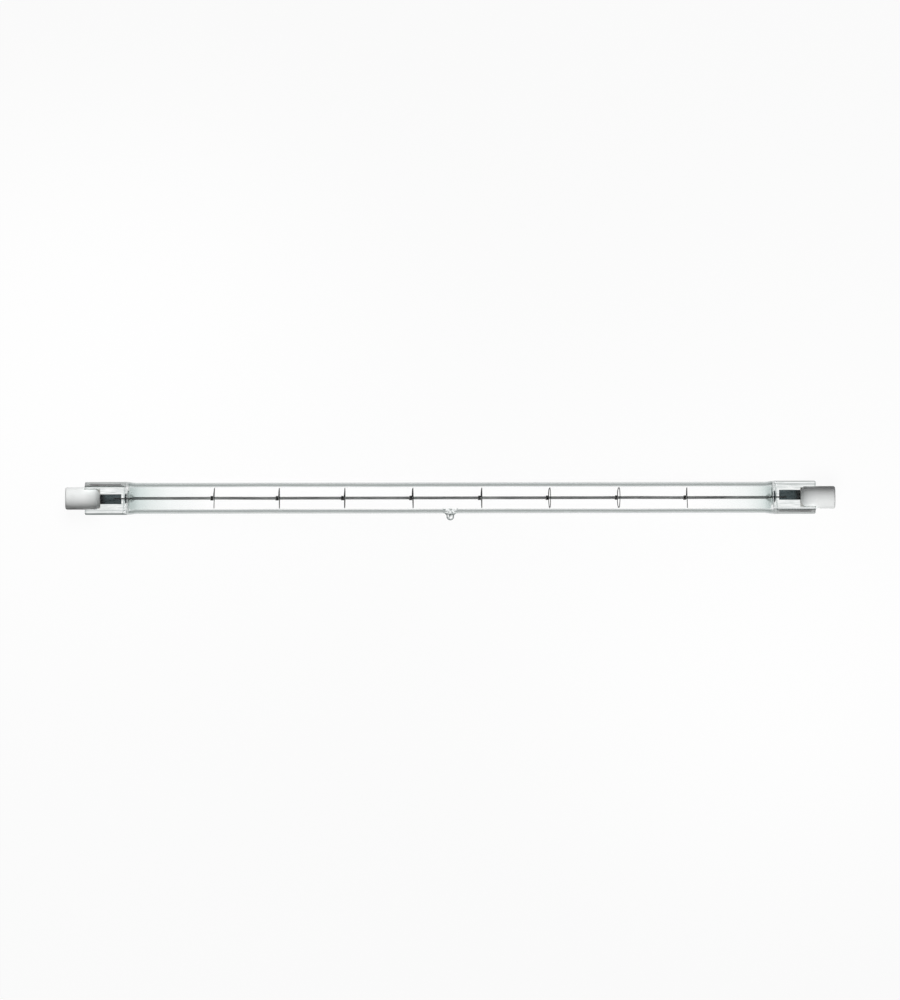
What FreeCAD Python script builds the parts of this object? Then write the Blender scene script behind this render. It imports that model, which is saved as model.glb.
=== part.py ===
# Double-ended linear halogen lamp of the 254 mm class with recessed single contacts.
# X runs along the lamp, Z is up and the exhaust tip points along -Y. The origin is the
# middle of the lamp on its axis. Lengths are in millimetres and angles in degrees.
import FreeCAD, Part
import math
import os
import Sketcher

doc = FreeCAD.newDocument("linear_halogen_lamp")

# An inset is measured inwards along the axis from the lamp's end.
DRIVING_SIZES = (
    ("overall_length", 254.1),
    ("tube_diameter", 10.3),
    ("tube_wall", 1.35),
    ("web_inset", 19.3),
    ("shoulder_run", 2.1),
    ("flare_run", 4.1),
    ("pinch_inset", 6.4),
    ("pinch_width", 10.0),
    ("pinch_flare", 11.3),
    ("rail_depth", 5.2),
    ("rail_thickness", 0.95),
    ("web_thickness", 2.4),
    ("left_pinch_roll", 16.0),
    ("right_pinch_roll", -16.0),
    ("cavity_setback", 0.9),
    ("cavity_slit", 0.6),
    ("cavity_nose", 0.9),
    ("tip_base", 4.8),
    ("tip_neck", 2.1),
    ("tip_ball", 2.6),
    ("tip_reach", 2.3),
    ("tip_bore", 1.6),
    ("foil_width", 3.4),
    ("foil_length", 10.0),
    ("foil_thickness", 0.04),
    ("foil_inset", 18.5),
    ("left_foil_shift", -0.2),
    ("right_foil_shift", 0.8),
    ("lead_diameter", 0.45),
    ("weld_length", 2.5),
    ("coil_diameter", 0.95),
    ("coil_wire", 0.22),
    ("coil_inset", 21.6),
    ("coil_grip", 4.0),
    ("cap_diameter", 7.4),
    ("cap_length", 11.6),
    ("cap_rounding", 0.7),
    ("cap_chamfer", 1.3),
    ("recess_diameter", 4.0),
    ("recess_depth", 1.7),
    ("contact_diameter", 3.2),
    ("contact_thickness", 0.8),
    ("contact_dome", 0.2),
    ("shank_diameter", 1.5),
    ("shank_length", 2.6),
    ("fit_gap", 0.05),
    ("cement_gap", 0.15),
    ("cement_width", 6.2),
    ("cement_overhang", 0.1),
    ("support_wire", 0.25),
    ("support_clearance", 0.15),
    ("support_inset", 49.0),
    ("support_gap", 0.04),
    ("grip_offset", 0.3),
    ("ring_angle", 345.0),
)
ALIASES = {alias for alias, _ in DRIVING_SIZES}

# For each support, from the left: how far it stands from its even place, and how its
# ring leans, as its rise along X for each millimetre along Y and along Z.
SUPPORTS = (
    (0.15, 0.03, 0.02),
    (-0.65, 0.00, 0.03),
    (-1.35, 0.01, -0.02),
    (-1.15, -0.01, 0.03),
    (-0.75, 0.00, 0.02),
    (-0.65, 0.00, 0.10),
    (-0.15, 0.01, 0.17),
    (0.15, -0.03, 0.02),
)
GRIP_TURNS = 3
WIRE_SIDES = 6

ENDS = (("left", -1), ("right", 1))
X_AXIS = FreeCAD.Vector(1, 0, 0)
Y_AXIS = FreeCAD.Vector(0, 1, 0)
Z_AXIS = FreeCAD.Vector(0, 0, 1)

sheet = doc.addObject("Spreadsheet::Sheet", "Sizes")
for row, (alias, size) in enumerate(DRIVING_SIZES, start=1):
    sheet.set(f"A{row}", alias)
    sheet.set(f"B{row}", str(size))
    sheet.setAlias(f"B{row}", alias)
doc.recompute()


def cells(text):
    """The expression, with each alias in it turned into a reference to its cell."""
    words = text.replace("(", " ( ").replace(")", " ) ").split()
    return " ".join(f"Sizes.{word}" if word in ALIASES else word for word in words)


def measure(text):
    """The value of an expression on the sheet's sizes."""
    return float(sheet.evalExpression(cells(text)))


def from_end(side, inset):
    """The place along X of an inset from the lamp's left (-1) or right (1) end."""
    return f"{side} * ( overall_length / 2 - ( {inset} ) )"


def dome_radius(chord_radius, height):
    """The radius of the sphere whose cap has this base radius and height."""
    return f"( ( {chord_radius} ) ^ 2 + {height} ^ 2 ) / ( 2 * {height} )"


def new_body(label):
    body = doc.addObject("PartDesign::Body", label)
    body.Label = label
    return body


def new_sketch(body, role, turn_axis=Z_AXIS, turn="0", rise="0"):
    """A sketch on one of the body's origin planes, lifted off it and turned there."""
    plane = next(f for f in body.Origin.OriginFeatures if f.Role == role)
    sketch = body.newObject("Sketcher::SketchObject", "Sketch")
    sketch.AttachmentSupport = (plane, [""])
    sketch.MapMode = "FlatFace"
    lift = FreeCAD.Vector(0, 0, measure(rise))
    sketch.AttachmentOffset = FreeCAD.Placement(lift, FreeCAD.Rotation(turn_axis, measure(turn)))
    sketch.setExpression("AttachmentOffset.Base.z", cells(rise))
    sketch.setExpression("AttachmentOffset.Rotation.Angle", cells(turn))
    return sketch


def tie(sketch, constraint, text):
    """Adds a constraint to the sketch and binds its value to an expression."""
    index = sketch.addConstraint(constraint)
    sketch.setExpression(f"Constraints[{index}]", cells(text))


def draw_outline(sketch, corners):
    """Draws a closed outline. A corner is (x, y), or (x, y, centre_x, centre_y) where an
    arc runs from it counter-clockwise to the next corner."""
    points = [FreeCAD.Vector(measure(c[0]), measure(c[1]), 0) for c in corners]
    edges = []
    for index, corner in enumerate(corners):
        start = points[index]
        stop = points[(index + 1) % len(points)]
        if len(corner) == 2:
            edges.append(sketch.addGeometry(Part.LineSegment(start, stop)))
            continue
        centre = FreeCAD.Vector(measure(corner[2]), measure(corner[3]), 0)
        circle = Part.Circle(centre, Z_AXIS, start.distanceToPoint(centre))
        first_angle = math.atan2(start.y - centre.y, start.x - centre.x)
        last_angle = math.atan2(stop.y - centre.y, stop.x - centre.x)
        edges.append(sketch.addGeometry(Part.ArcOfCircle(circle, first_angle, last_angle)))
    for index, corner in enumerate(corners):
        edge = edges[index]
        following = edges[(index + 1) % len(edges)]
        sketch.addConstraint(Sketcher.Constraint("Coincident", edge, 2, following, 1))
        tie(sketch, Sketcher.Constraint("DistanceX", edge, 1, points[index].x), corner[0])
        tie(sketch, Sketcher.Constraint("DistanceY", edge, 1, points[index].y), corner[1])
        if len(corner) == 4:
            centre_x = measure(corner[2])
            tie(sketch, Sketcher.Constraint("DistanceX", edge, 3, centre_x), corner[2])


def draw_circle(sketch, radius):
    circle = Part.Circle(FreeCAD.Vector(0, 0, 0), Z_AXIS, measure(radius))
    edge = sketch.addGeometry(circle)
    sketch.addConstraint(Sketcher.Constraint("Coincident", edge, 3, -1, 1))
    tie(sketch, Sketcher.Constraint("Radius", edge, measure(radius)), radius)


def rectangle(x_low, x_high, y_low, y_high):
    return [(x_low, y_low), (x_high, y_low), (x_high, y_high), (x_low, y_high)]


def end_outline(side, corners):
    """An outline given as insets and radii at the right end, drawn at either end."""
    if side < 0:
        reversed_corners = []
        for index in reversed(range(len(corners))):
            arc_centre = corners[index - 1][2:]
            reversed_corners.append(corners[index][:2] + arc_centre)
        corners = reversed_corners
    placed = []
    for corner in corners:
        place = (from_end(side, corner[0]), corner[1])
        if len(corner) == 4:
            place += (from_end(side, corner[2]), corner[3])
        placed.append(place)
    return placed


def above_and_below(corners):
    """An outline and its mirror image below the sketch's horizontal axis."""
    return corners, [(x, f"-1 * ( {y} )") for x, y in corners]


def revolve(body, corners, axis):
    """Turns an outline in the XY plane about its H_Axis (X) or V_Axis (Y)."""
    sketch = new_sketch(body, "XY_Plane")
    draw_outline(sketch, corners)
    feature = body.newObject("PartDesign::Revolution", "Revolution")
    feature.Profile = sketch
    feature.ReferenceAxis = (sketch, [axis])
    feature.Angle = 360


def extrude(body, sketch, length):
    feature = body.newObject("PartDesign::Pad", "Pad")
    feature.Profile = sketch
    feature.setExpression("Length", cells(length))


def press(body, role, outlines, width, roll):
    """Cuts outlines on a plane that is rolled about the lamp's axis, half the width to
    each side of it."""
    sketch = new_sketch(body, role, X_AXIS, roll)
    for corners in outlines:
        draw_outline(sketch, corners)
    feature = body.newObject("PartDesign::Pocket", "Pocket")
    feature.Profile = sketch
    feature.SideType = "Symmetric"
    feature.setExpression("Length", cells(width))


def cut_from(label, base, tool):
    feature = doc.addObject("Part::Cut", label)
    feature.Label = label
    feature.Base = base
    feature.Tool = tool
    return feature


def fused(label, shapes):
    feature = doc.addObject("Part::MultiFuse", label)
    feature.Shapes = shapes
    return feature


def jaw(side, root, crest, height):
    """The side of a press jaw: flat outside the root's inset, then a slope up to the
    crest's inset and height."""
    return [
        (from_end(side, root), height),
        (from_end(side, "0"), height),
        (from_end(side, "0"), "pinch_flare"),
        (from_end(side, crest[0]), "pinch_flare"),
        (from_end(side, crest[0]), crest[1]),
    ]


def quartz_blank():
    """The tube with its pressed ends and its exhaust tip, still solid inside."""
    body = new_body("quartz_blank")
    half = [
        ("pinch_inset", "0"),
        ("pinch_inset", "pinch_flare / 2"),
        ("web_inset", "pinch_flare / 2"),
        ("web_inset + flare_run", "tube_diameter / 2"),
    ]
    revolve(body, end_outline(1, half) + end_outline(-1, half), "H_Axis")
    tip_root = "-1 * ( tube_diameter / 2 - tube_wall / 2 )"
    ball_centre = "-1 * ( tube_diameter / 2 + tip_reach - tip_ball / 2 )"
    neck = [
        ("0", ball_centre),
        ("tip_neck / 2", ball_centre),
        ("tip_base / 2", tip_root),
        ("0", tip_root),
    ]
    ball = [
        ("0", f"{ball_centre} - tip_ball / 2", "0", ball_centre),
        ("0", f"{ball_centre} + tip_ball / 2"),
    ]
    revolve(body, neck, "V_Axis")
    revolve(body, ball, "V_Axis")
    side_crest = ("web_inset + shoulder_run", "pinch_flare / 2")
    top_crest = ("web_inset + shoulder_run", "tube_diameter / 2")
    across = "pinch_flare * 2"
    web_width = "pinch_width - 2 * rail_thickness"
    for name, side in ENDS:
        roll = f"{name}_pinch_roll"
        sides = jaw(side, "web_inset", side_crest, "pinch_width / 2")
        rails = jaw(side, "web_inset", top_crest, "rail_depth / 2")
        web = jaw(side, "web_inset", top_crest, "web_thickness / 2")
        press(body, "XY_Plane", above_and_below(sides), across, roll)
        press(body, "XZ_Plane", above_and_below(rails), across, roll)
        press(body, "XZ_Plane", above_and_below(web), web_width, roll)
    return body


def gas_space():
    """The hollow of the envelope, squeezed to a slit at each pinch, with the tip's bore."""
    body = new_body("gas_space")
    bore_radius = "tube_diameter / 2 - tube_wall"
    nose_radius = dome_radius(bore_radius, "cavity_nose")
    cavity_end = "web_inset + cavity_setback"
    nose = [
        (cavity_end, "0", f"{cavity_end} + {nose_radius}", "0"),
        (f"{cavity_end} + cavity_nose", bore_radius),
    ]
    revolve(body, end_outline(1, nose) + end_outline(-1, nose), "H_Axis")
    tip_mouth = f"-1 * ( {bore_radius} ) / 2"
    tip_bore = [
        ("0", "-1 * ( tube_diameter / 2 + tip_reach / 2 )"),
        ("tip_bore / 2", tip_mouth),
        ("0", tip_mouth),
    ]
    revolve(body, tip_bore, "V_Axis")
    for name, side in ENDS:
        crest = ("web_inset + shoulder_run", bore_radius)
        squeeze = jaw(side, cavity_end, crest, "cavity_slit / 2")
        outlines = above_and_below(squeeze)
        press(body, "XZ_Plane", outlines, "pinch_flare * 2", f"{name}_pinch_roll")
    return body


def sealing_foil(name, side):
    """The flat foil in the pinch, just under the leads that are welded on it."""
    body = new_body(f"foil_{name}")
    inset = "foil_inset" if side > 0 else "foil_inset - foil_length"
    roll = f"{name}_pinch_roll"
    sketch = new_sketch(body, "YZ_Plane", Z_AXIS, roll, from_end(side, inset))
    top = "foil_thickness / 2 - lead_diameter / 2"
    low = f"{name}_foil_shift - foil_width / 2"
    high = f"{name}_foil_shift + foil_width / 2"
    draw_outline(sketch, rectangle(low, high, f"{top} - foil_thickness", top))
    extrude(body, sketch, "foil_length")
    return body


def lead(label, side, outer_inset, inner_inset, foil):
    """A straight wire on the axis, with a weld flat where it lies on the foil."""
    wire = doc.addObject("Part::Cylinder", f"{label}_wire")
    wire.setExpression("Radius", cells("lead_diameter / 2"))
    wire.setExpression("Height", cells(f"{inner_inset} - ( {outer_inset} )"))
    wire.Placement.Rotation = FreeCAD.Rotation(Y_AXIS, 90)
    start_inset = inner_inset if side > 0 else outer_inset
    wire.setExpression("Placement.Base.x", cells(from_end(side, start_inset)))
    return cut_from(label, wire, foil)


def filament():
    """The coil as the sleeve that its turns fill."""
    body = new_body("filament")
    sketch = new_sketch(body, "YZ_Plane", rise=from_end(-1, "coil_inset"))
    draw_circle(sketch, "coil_diameter / 2")
    draw_circle(sketch, "coil_diameter / 2 - coil_wire")
    extrude(body, sketch, "overall_length - 2 * coil_inset")
    return body


def wire_outline(x, y):
    """The section of a support's wire, with a few sides, about a point of its sketch."""
    corners = []
    for side in range(WIRE_SIDES):
        angle = 2 * math.pi * side / WIRE_SIDES
        across = f"support_wire / 2 * {round(math.cos(angle), 6)}"
        up = f"support_wire / 2 * {round(math.sin(angle), 6)}"
        corners.append((f"{x} + {across}", f"{y} + {up}"))
    return corners


def grip_outline(grip_radius):
    """The section of the tight turns, which touch: a sleeve with a rib for each turn."""
    corners = [("-1 * grip_offset", grip_radius)]
    corners.append(("-1 * grip_offset", f"{grip_radius} + support_wire / 2"))
    for turn in range(GRIP_TURNS):
        crest = f"-1 * grip_offset - {turn + 0.5} * support_wire"
        valley = f"-1 * grip_offset - {turn + 1} * support_wire"
        corners.append((crest, f"{grip_radius} + support_wire"))
        corners.append((valley, f"{grip_radius} + support_wire / 2"))
    corners.append((f"-1 * grip_offset - {GRIP_TURNS} * support_wire", grip_radius))
    return corners


def filament_support(number, nudge, lean_y, lean_z):
    """A bent wire: tight turns round the coil, a spoke outwards and an open ring."""
    body = new_body(f"filament_support_{number}")
    grip_radius = "coil_diameter / 2 + support_gap"
    reach = "tube_diameter / 2 - tube_wall - support_clearance"
    ring_radius = f"( {reach} - support_wire / 2 )"
    revolve(body, grip_outline(grip_radius), "H_Axis")

    spoke_root = f"{grip_radius} + support_wire / 2"
    root = new_sketch(body, "XZ_Plane", rise=f"-1 * ( {spoke_root} )")
    draw_outline(root, wire_outline("-1 * grip_offset - support_wire / 2", "0"))
    tip = new_sketch(body, "XZ_Plane", rise=f"-1 * ( {ring_radius} )")
    draw_outline(tip, wire_outline(f"{lean_y} * {ring_radius}", "0"))
    spoke = body.newObject("PartDesign::AdditiveLoft", "Spoke")
    spoke.Profile = root
    spoke.Sections = [tip]
    spoke.Ruled = True

    lean_axis = FreeCAD.Vector(0, lean_z, -lean_y)
    lean = math.degrees(math.atan(lean_axis.Length))
    ring = new_sketch(body, "XY_Plane", lean_axis, str(lean))
    draw_outline(ring, wire_outline("0", ring_radius))
    turn = body.newObject("PartDesign::Revolution", "Ring")
    turn.Profile = ring
    turn.ReferenceAxis = (ring, ["H_Axis"])
    turn.setExpression("Angle", cells("ring_angle"))

    steps_from_middle = number - (len(SUPPORTS) + 1) / 2
    last_step = (len(SUPPORTS) - 1) / 2
    last_place = "( overall_length / 2 - support_inset )"
    place = f"{last_place} * {steps_from_middle} / {last_step} + {nudge}"
    body.setExpression("Placement.Base.x", cells(place))
    return body


def ceramic_cap(name, side):
    """A turned cap with a stepped contact recess, slotted over the pinch's web."""
    body = new_body(f"ceramic_cap_{name}")
    bore = "shank_diameter / 2 + fit_gap"
    seat = "contact_diameter / 2 + fit_gap"
    seat_floor = "recess_depth + contact_thickness"
    edge = "cap_diameter / 2 - cap_rounding"
    section = [
        ("cap_length", bore),
        (seat_floor, bore),
        (seat_floor, seat),
        ("recess_depth", seat),
        ("recess_depth", "recess_diameter / 2"),
        ("0", "recess_diameter / 2"),
        ("0", edge, "cap_rounding", edge),
        ("cap_rounding", "cap_diameter / 2"),
        ("cap_length - cap_chamfer", "cap_diameter / 2"),
        ("cap_length", "cap_diameter / 2 - cap_chamfer"),
    ]
    revolve(body, end_outline(side, section), "H_Axis")
    slot_height = "web_thickness / 2 + cement_gap"
    slot = rectangle(
        from_end(side, "pinch_inset - cement_gap"),
        from_end(side, "cap_length * 2"),
        f"-1 * ( {slot_height} )",
        slot_height,
    )
    press(body, "XZ_Plane", [slot], "cap_diameter * 2", f"{name}_pinch_roll")
    return body


def cap_cement(name, side, blank, wire):
    """The cement between the slot and the web, which the web and the lead leave hollow."""
    block = new_body(f"cement_block_{name}")
    inset = "cap_length + cement_overhang" if side > 0 else "pinch_inset - cement_gap"
    roll = f"{name}_pinch_roll"
    sketch = new_sketch(block, "YZ_Plane", Z_AXIS, roll, from_end(side, inset))
    half_width = "cement_width / 2"
    half_height = "web_thickness / 2 + cement_gap"
    corners = rectangle(
        f"-1 * ( {half_width} )", half_width, f"-1 * ( {half_height} )", half_height
    )
    draw_outline(sketch, corners)
    extrude(block, sketch, "cap_length + cement_overhang - ( pinch_inset - cement_gap )")
    return cut_from(f"cement_{name}", block, fused(f"cement_core_{name}", [blank, wire]))


def contact_button(name, side):
    """A domed button with a shank, bored for the lead that is welded in it."""
    body = new_body(f"contact_{name}")
    radius = "contact_diameter / 2"
    back = "recess_depth + contact_thickness"
    dome_centre = f"recess_depth + {dome_radius(radius, 'contact_dome')}"
    section = [
        (back, "0"),
        ("recess_depth", "0", dome_centre, "0"),
        ("recess_depth + contact_dome", radius),
        (back, radius),
        (back, "shank_diameter / 2"),
        (f"{back} + shank_length", "shank_diameter / 2"),
        (f"{back} + shank_length", "lead_diameter / 2"),
        (back, "lead_diameter / 2"),
    ]
    revolve(body, end_outline(side, section), "H_Axis")
    return body


def build_lamp():
    """Builds every piece and gives those that are handed in."""
    blank = quartz_blank()
    pieces = [filament()]
    sealed_in = [gas_space()]
    for name, side in ENDS:
        foil = sealing_foil(name, side)
        weld_inset = "foil_inset - weld_length"
        grip_inset = "coil_inset + coil_grip"
        inner = lead(f"inner_lead_{name}", side, weld_inset, grip_inset, foil)
        seat_inset = "recess_depth + contact_thickness"
        weld_inset = "foil_inset - foil_length + weld_length"
        outer = lead(f"outer_lead_{name}", side, seat_inset, weld_inset, foil)
        sealed_in += [foil, inner, outer]
        pieces += [foil, inner, outer]
        pieces.append(ceramic_cap(name, side))
        pieces.append(cap_cement(name, side, blank, outer))
        pieces.append(contact_button(name, side))
    for number, (nudge, lean_y, lean_z) in enumerate(SUPPORTS, start=1):
        pieces.append(filament_support(number, nudge, lean_y, lean_z))
    pieces.append(cut_from("quartz_envelope", blank, fused("sealed_in", sealed_in)))
    return pieces


pieces = build_lamp()
doc.recompute()
for item in doc.Objects:
    faults = {"Invalid", "Error"} & set(item.State)
    if faults:
        raise RuntimeError(f"{item.Label} has the state {sorted(faults)}")
os.makedirs("parts", exist_ok=True)
for piece in pieces:
    if piece.Shape.isNull() or not piece.Shape.isValid():
        raise RuntimeError(f"{piece.Label} has no valid shape")
for piece in pieces:
    piece.Shape.exportStep(f"parts/{piece.Label}.step")
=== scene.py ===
# Looks of a double-ended linear halogen bulb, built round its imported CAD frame.
# X runs along the lamp, Z is up and the exhaust tip points along -Y. Sizes are in millimetres
# and angles in degrees until a mesh is finished, and the finished meshes are in metres.
import math

import bmesh
import bpy
from mathutils import Matrix, Vector, noise


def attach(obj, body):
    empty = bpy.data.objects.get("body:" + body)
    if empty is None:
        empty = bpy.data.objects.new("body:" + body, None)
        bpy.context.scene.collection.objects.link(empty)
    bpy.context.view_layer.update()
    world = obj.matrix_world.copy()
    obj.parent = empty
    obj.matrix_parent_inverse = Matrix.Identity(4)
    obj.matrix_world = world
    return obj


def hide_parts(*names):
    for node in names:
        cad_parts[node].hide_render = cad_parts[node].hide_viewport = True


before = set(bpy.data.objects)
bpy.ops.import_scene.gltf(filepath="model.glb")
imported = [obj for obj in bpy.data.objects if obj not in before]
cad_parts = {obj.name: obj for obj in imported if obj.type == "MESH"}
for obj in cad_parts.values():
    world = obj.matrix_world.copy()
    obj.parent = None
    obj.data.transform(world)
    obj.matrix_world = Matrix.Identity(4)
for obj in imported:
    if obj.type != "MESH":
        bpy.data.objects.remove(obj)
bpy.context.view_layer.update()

MM = 0.001
HALF_LENGTH = 127.05

# Each end's name, its side along X and the roll of its pinch.
ENDS = (("left", -1, 16.0), ("right", 1, -16.0))

# Quartz envelope. An inset is measured inwards along X from the lamp's end.
TUBE_RADIUS = 5.15
BORE_RADIUS = 3.8
FLARE_RADIUS = 5.65
SHOULDER_INSET = 21.4
FLARE_INSET = 23.4
WEB_INSET = 19.3
PINCH_INSET = 6.4
PINCH_HALF_WIDTH = 5.0
RAIL_ROUNDING = 0.5
RAIL_HEIGHT = 2.6
WEB_HEIGHT = 1.2
CREST_HEIGHT = 5.4
CAVITY_INSET = 20.2
CAVITY_NOSE = 0.9
SLIT_HEIGHT = 0.3
SHOULDER_STEPS = 12
SMOOTHING = 0.5
SMOOTHING_ROUNDS = 3

# Angles of a ring, from the pinch's flat, that become the rail's top and the web.
RAIL_ANGLES = (27.7, 43.6)
WEB_ANGLES = (44.8, 90.0)

# Where the rings stand: shares of the rail's rounding, insets, and depths from the cavity's end.
ROUNDING_SHARES = (0, 0.06, 0.2, 0.4, 0.7, 1.0)
PINCH_STATIONS = (9, 12, 15, 18, 18.9, 19.2)
TUBE_STATIONS = (21.6, 22, 22.4, 22.9, 23.4, 24, 25, 26.5, 30, 36, 44, 54, 66, 80, 95, 108, 118, 124)
NOSE_DEPTHS = (0.02, 0.1, 0.2, 0.32, 0.46, 0.6, 0.75, 0.9, 1.05, 1.2)
BORE_STATIONS = (21.8, 22.6, 24, 26.5, 30, 40, 52, 66, 80, 95, 108, 118, 124)

# Exhaust tip and its bore, as (place along Y, radius).
TIP_PROFILE = (
    (-4.5, 0), (-4.5, 2.5), (-4.9, 2.22), (-5.2, 1.9), (-5.5, 1.54), (-5.75, 1.32), (-5.95, 1.25),
    (-6.2, 1.28), (-6.5, 1.25), (-6.8, 1.12), (-7.1, 0.88), (-7.3, 0.6), (-7.41, 0.3), (-7.45, 0),
)
TIP_BORE_PROFILE = ((-3.0, 0), (-3.0, 0.8), (-4.6, 0.62), (-5.6, 0.34), (-6.2, 0.12), (-6.3, 0))
TIP_SIDES = 48
TIP_BORE_SIDES = 24

# Filament and its supports. A support has a place along X and leans along Y and Z.
COIL_RADIUS = 0.385
COIL_WIRE = 0.118
COIL_INSET = 21.6
COIL_TURNS = 900
COIL_SIDES = 6
COIL_STEPS = 12
SUPPORT_WIRE = 0.125
SUPPORT_SIDES = 10
SUPPORT_GRIP = 0.64
SUPPORT_RING = 3.3
GRIP_OFFSET = 0.425
GRIP_TURNS = 3
GRIP_STEPS = 20
ARM_TURN = 0.5
ARM_STEPS = 16
RING_TURN = 0.94
RING_STEPS = 60
LEAN_START = 0.9
LEAN_END = SUPPORT_RING - 0.3
SUPPORTS = (
    (-77.90, 0.03, 0.02),
    (-56.40, 0.00, 0.03),
    (-34.80, 0.01, -0.02),
    (-12.30, -0.01, 0.03),
    (10.40, 0.00, 0.02),
    (32.80, 0.00, 0.09),
    (55.60, 0.01, 0.12),
    (78.20, -0.03, -0.02),
)

# Caps and contacts, in (inset, radius). An arc has a start, a centre and its last angle.
CAP_RADIUS = 3.7
CAP_LENGTH = 11.6
CAP_BORE = 0.8
CAP_STATIONS = (4, 8)
CAP_BEVEL = 0.12
CAP_SIDES = 72
RIM_STEPS = 6
RIM_ROUNDING = 0.7
RECESS_DEPTH = 1.7
RECESS_RADIUS = 2.0
RECESS_LIP = ((0.2, RECESS_RADIUS), (0.06, 2.06), (0, 2.2))
SEAT_DEPTH = 2.5
SEAT_RADIUS = 1.65
SLOT_HEIGHT = 1.35
SLOT_INSET = 6.25
SLOT_CUT_INSET = 24
SLOT_CUT_HALF_WIDTH = 9
CHAMFER_ARCS = (
    ((10.1, CAP_RADIUS), (10.1, CAP_RADIUS - 0.5), 45),
    ((CAP_LENGTH - 0.35, 2.75), (CAP_LENGTH - 0.5, 2.6), 0),
)
CHAMFER_STEPS = 3
CONTACT_SIDES = 48
CONTACT_PROFILE = (
    (2.5, 0), (1.72, 0), (1.70, 0.25), (1.70, 0.6), (1.73, 0.95), (1.80, 1.3), (1.90, 1.54),
    (2.0, 1.6), (2.42, 1.6), (2.5, 1.52), (2.5, 0.75), (5.0, 0.75), (5.1, 0.65), (5.1, 0.225),
    (2.5, 0.225), (2.5, 0),
)

# Cement and foils.
CEMENT_HALF_WIDTH = 3.1
CEMENT_INSET = 11.5
CEMENT_GRID = (28, 24)
CEMENT_GAP = 0.05
CEMENT_LUMPS = 0.05
CEMENT_LUMP_SCALE = 1.7
CEMENT_FRAY = 0.45
CEMENT_FRAY_SCALE = 0.9
CEMENT_FRAY_START = 0.3
FOIL_INSETS = (8.5, 18.5)
FOIL_WIDTH = 3.4
FOIL_SHIFT = {"left": -0.2, "right": 0.8}
FOIL_LEVEL = -0.225
FOIL_GRID = (60, 20)
FOIL_EDGE = 0.003
FOIL_CROWN = 0.017
FOIL_RIPPLE = 0.01
FOIL_RIPPLE_SCALES = (0.8, 1.5)
FOIL_RIPPLE_SEED = 3.0

# Spans over which a tint or a painted shade changes: along the lamp from its middle, down or out
# from its axis, or across the pinch from the middle of its web. The neck shade's spans follow its
# slant.
SKIN_OUT = (3.95, 4.15)
BORE_SHADE_ALONG = (80, 106)
FUNNEL_ALONG = (103.6, 104.3)
CREASES_ALONG = (105.5, 108.5)
PINCH_ALONG = (106, 107.5)
FOIL_SHADE_ALONG = (114.0, 115.8)
CAP_SHADE_ALONG = (115.4, 121)
RAIL_END_ALONG = (119.9, 120.5)
TIP_ALONG = (2.4, 2.6)
TIP_DOWN = (4.95, 5.2)
NECK_DOWN = (3.3, 3.6)
NECK_SHADE_BORDER = (3.85, 4.2)
NECK_SHADE_END = (4.2, 4.4)
RAIL_CHANGE_ACROSS = (-1, 1)
RAIL_LINES_ACROSS = (3.8, 5.2)
RAIL_BACK_ACROSS = (4.6, 4.7)
RAIL_SIDE_ACROSS = (4.93, 4.97)
WHITE = (1.0, 1.0, 1.0)

# How far a border leans along the lamp for each millimetre across it, and how far it waves.
NECK_SHADE_SLANT = 0.5
FUNNEL_SLANT = 1.2
CREASE_SLANT = 0.1
CREASE_WAVES = 0.5
CAP_SHADE_WAVES = 0.5
FOIL_SHADE_WAVES = 1.2

# Left and right values of the painted bore shade's power and of the shift of the far rail's painted
# shade lines.
BORE_SHADE_POWERS = (1.0, 1.8)
FAR_LINE_SHIFTS = (0.25, -0.09)

# Bounces after which a ray leaves the quartz: off its inner walls, and of any kind.
TRAPPED_BOUNCES = 2.0
LOST_BOUNCES = 6.0

# Stage. The lamps, the camera and the view's height are in metres.
FLOOR_SIZE = 2000
FLOOR_GAP = 0.02
FLOOR_BOUNCE = (0.16, 0.16, 0.16, 1)
FLOOR_PAPER = (0.95, 0.95, 0.95, 1)
FLOOR_GLOW = 0.95
WORLD_FILL = 0.075
LAMP_PLACE = (0.105, 0.115, 0.165)
LAMP_AIM = 0.121
LAMP_SIZE = 0.14
LAMP_SPREAD = 90
LAMPS = (("back_left_light", -1, 0.112), ("front_right_light", 1, 0.101))
CAMERA_PLACE = (-0.08 * MM, -0.7 * MM, 4.0)
CAMERA_TURN = -0.095
VIEW_HEIGHT = 0.3301


# Shader helpers

class Value:
    """A node's output. Sums and products with it add Math nodes, and node adds any other."""

    def __init__(self, tree, output=None):
        self.tree = tree
        self.output = output

    def node(self, kind, settings=(), inputs=(), out=0):
        made = self.tree.nodes.new(kind)
        for name, setting in dict(settings).items():
            if name == "stops":
                ramp = made.color_ramp.elements
                while len(ramp) < len(setting):
                    ramp.new(0.5)
                for stop, (place, colour) in zip(ramp, setting):
                    stop.position = place
                    stop.color = (*colour, 1)
            else:
                setattr(made, name, setting)
        for name, value in dict(inputs).items():
            if isinstance(value, Value):
                self.tree.links.new(value.output, made.inputs[name])
            else:
                made.inputs[name].default_value = value
        return Value(self.tree, made.outputs[out])

    def math(self, operation, first, second):
        return self.node("ShaderNodeMath", {"operation": operation}, {0: first, 1: second})

    def __add__(self, other):
        return self.math("ADD", self, other)

    def __radd__(self, other):
        return self.math("ADD", other, self)

    def __sub__(self, other):
        return self.math("SUBTRACT", self, other)

    def __rsub__(self, other):
        return self.math("SUBTRACT", other, self)

    def __mul__(self, other):
        return self.math("MULTIPLY", self, other)

    def __rmul__(self, other):
        return self.math("MULTIPLY", other, self)


def new_tree(owner):
    owner.use_nodes = True
    owner.node_tree.nodes.clear()
    return Value(owner.node_tree)


def finish_tree(tree, shader, kind="ShaderNodeOutputMaterial"):
    out = tree.tree.nodes.new(kind)
    tree.tree.links.new(shader.output, out.inputs["Surface"])


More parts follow.
